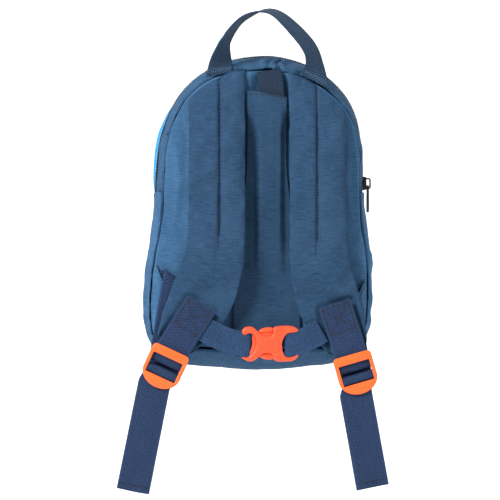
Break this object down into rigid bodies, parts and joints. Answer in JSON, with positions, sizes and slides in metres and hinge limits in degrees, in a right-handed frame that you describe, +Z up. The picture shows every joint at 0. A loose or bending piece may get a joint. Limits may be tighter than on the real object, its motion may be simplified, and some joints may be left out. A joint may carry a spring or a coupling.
{
  "type": "toddler backpack",
  "caption": "Small arched toddler backpack with padded shoulder straps, side pockets, chest strap with side-release buckle and ladder locks, hanging by its grab handle.",
  "frame": {"origin": "underside of the grab handle's highest point, where it hangs", "axes": "+Z up as it hangs, -Y towards the wearer's back, +X to the right seen from the wearer's side"},
  "size_m": [0.2073, 0.1173, 0.3738],
  "materials": {
    "blue_cloth": "matt slubbed cloth",
    "light_blue_cloth": "matt slubbed cloth",
    "navy_webbing": "ribbed webbing",
    "orange_plastic": "satin moulded",
    "red_orange_plastic": "satin moulded",
    "black_zip": "matt tape and coil",
    "dark_metal": "dark satin"
  },
  "bodies": {
    "bag": {"rear_gusset": "blue_cloth", "front_gusset": "light_blue_cloth", "lower_gusset": "blue_cloth", "main_zip": "black_zip", "back_panel": "blue_cloth", "front_panel": "light_blue_cloth", "side_pocket_left": "blue_cloth", "side_pocket_right": "blue_cloth", "centre_panel": "blue_cloth", "centre_webbing": "navy_webbing", "grab_handle": "navy_webbing", "shoulder_strap_left": "blue_cloth", "shoulder_strap_right": "blue_cloth", "sewn_webbing_left": "navy_webbing", "sewn_webbing_right": "navy_webbing", "ladder_lock_left": "orange_plastic", "ladder_lock_right": "orange_plastic", "wing_tab_left": "blue_cloth", "wing_tab_right": "blue_cloth", "adjust_webbing_left": "navy_webbing", "adjust_webbing_right": "navy_webbing", "chest_webbing_left": "navy_webbing", "chest_webbing_right": "navy_webbing", "buckle_male": "red_orange_plastic", "buckle_female": "red_orange_plastic", "zip_slider": "dark_metal"},
    "zip_pull": {"zip_pull_tab": "dark_metal"}
  },
  "joints": [
    {"name": "zip_pull_swing", "type": "hinge", "parent": "bag", "child": "zip_pull", "pos_m": [0.08358, 0.045, -0.13267], "axis": [0, -1, 0], "range_deg": [0, 120]}
  ]
}
